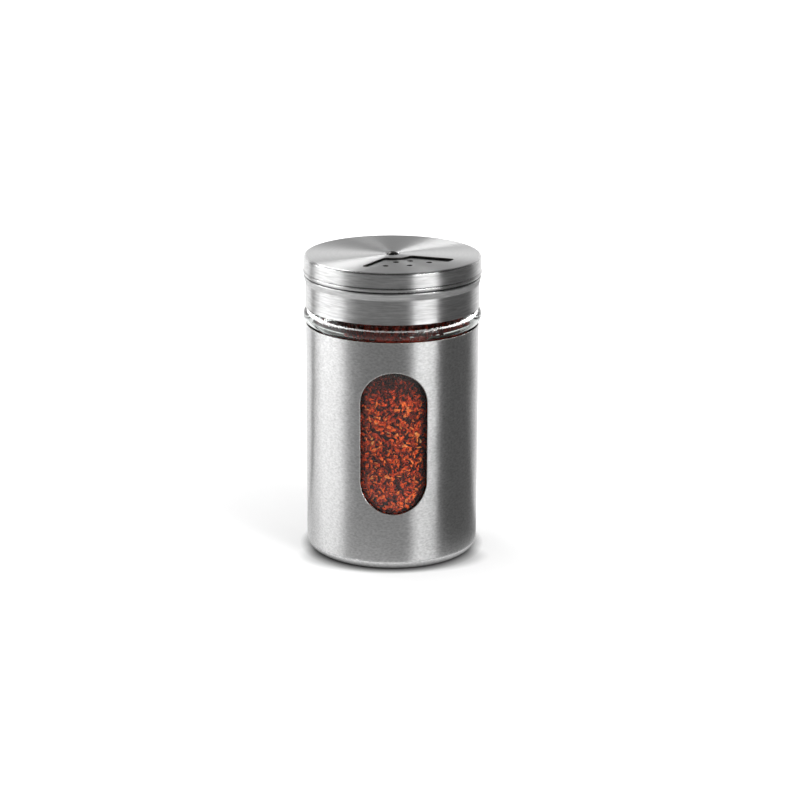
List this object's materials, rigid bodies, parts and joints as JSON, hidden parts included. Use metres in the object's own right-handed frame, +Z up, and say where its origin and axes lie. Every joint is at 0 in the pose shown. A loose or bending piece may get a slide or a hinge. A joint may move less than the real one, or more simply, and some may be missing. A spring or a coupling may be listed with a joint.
{
  "type": "spice shaker dispenser",
  "caption": "Glass spice shaker in a steel sleeve with a sight window, under a screw lid whose cap turns over a perforated plate to choose an opening.",
  "frame": {"origin": "centre of the foot, on the surface that the shaker stands on", "axes": "+Z up along the shaker's axis; the sight window faces -Y and +X is to its right seen from the front"},
  "size_m": [0.0536, 0.0536, 0.0918],
  "materials": {
    "sleeve_steel": "round-brushed stainless sheet",
    "lid_steel": "round-brushed stainless sheet",
    "cap_steel": "stainless sheet, spun-brushed on top",
    "rivet_steel": "polished",
    "washer_steel": "plain stainless",
    "jar_glass": "clear moulded glass",
    "chilli": "loose crushed dried chilli",
    "insert_plastic": "white moulded polypropylene",
    "silicone": "soft translucent seal",
    "glue": "hot-melt glue"
  },
  "bodies": {
    "bottle": {"steel_sleeve": "sleeve_steel", "glue_pads": "glue", "glass_jar": "jar_glass", "chilli_flakes": "chilli"},
    "seal": {"sealing_gasket": "silicone"},
    "lid": {"lid_shell": "lid_steel", "thread_insert": "insert_plastic", "centre_rivet": "rivet_steel", "spring_washer": "washer_steel", "flat_washer": "washer_steel"},
    "selector": {"rotating_cap": "cap_steel"}
  },
  "joints": [
    {"name": "lid_rise", "type": "slide", "parent": "bottle", "child": "seal", "axis": [0, 0, 1], "range_m": [0, 0.0148]},
    {"name": "lid_unscrew", "type": "hinge", "parent": "seal", "child": "lid", "pos_m": [0, 0, 0.08], "axis": [0, 0, 1], "range_deg": [0, 1260]},
    {"name": "selector_turn", "type": "hinge", "parent": "lid", "child": "selector", "pos_m": [0, 0, 0.0905], "axis": [0, 0, 1], "continuous": true}
  ],
  "couplings": [
    {"joint": "lid_rise", "follows": "lid_unscrew", "m_per_rad": 0.00066845}
  ]
}
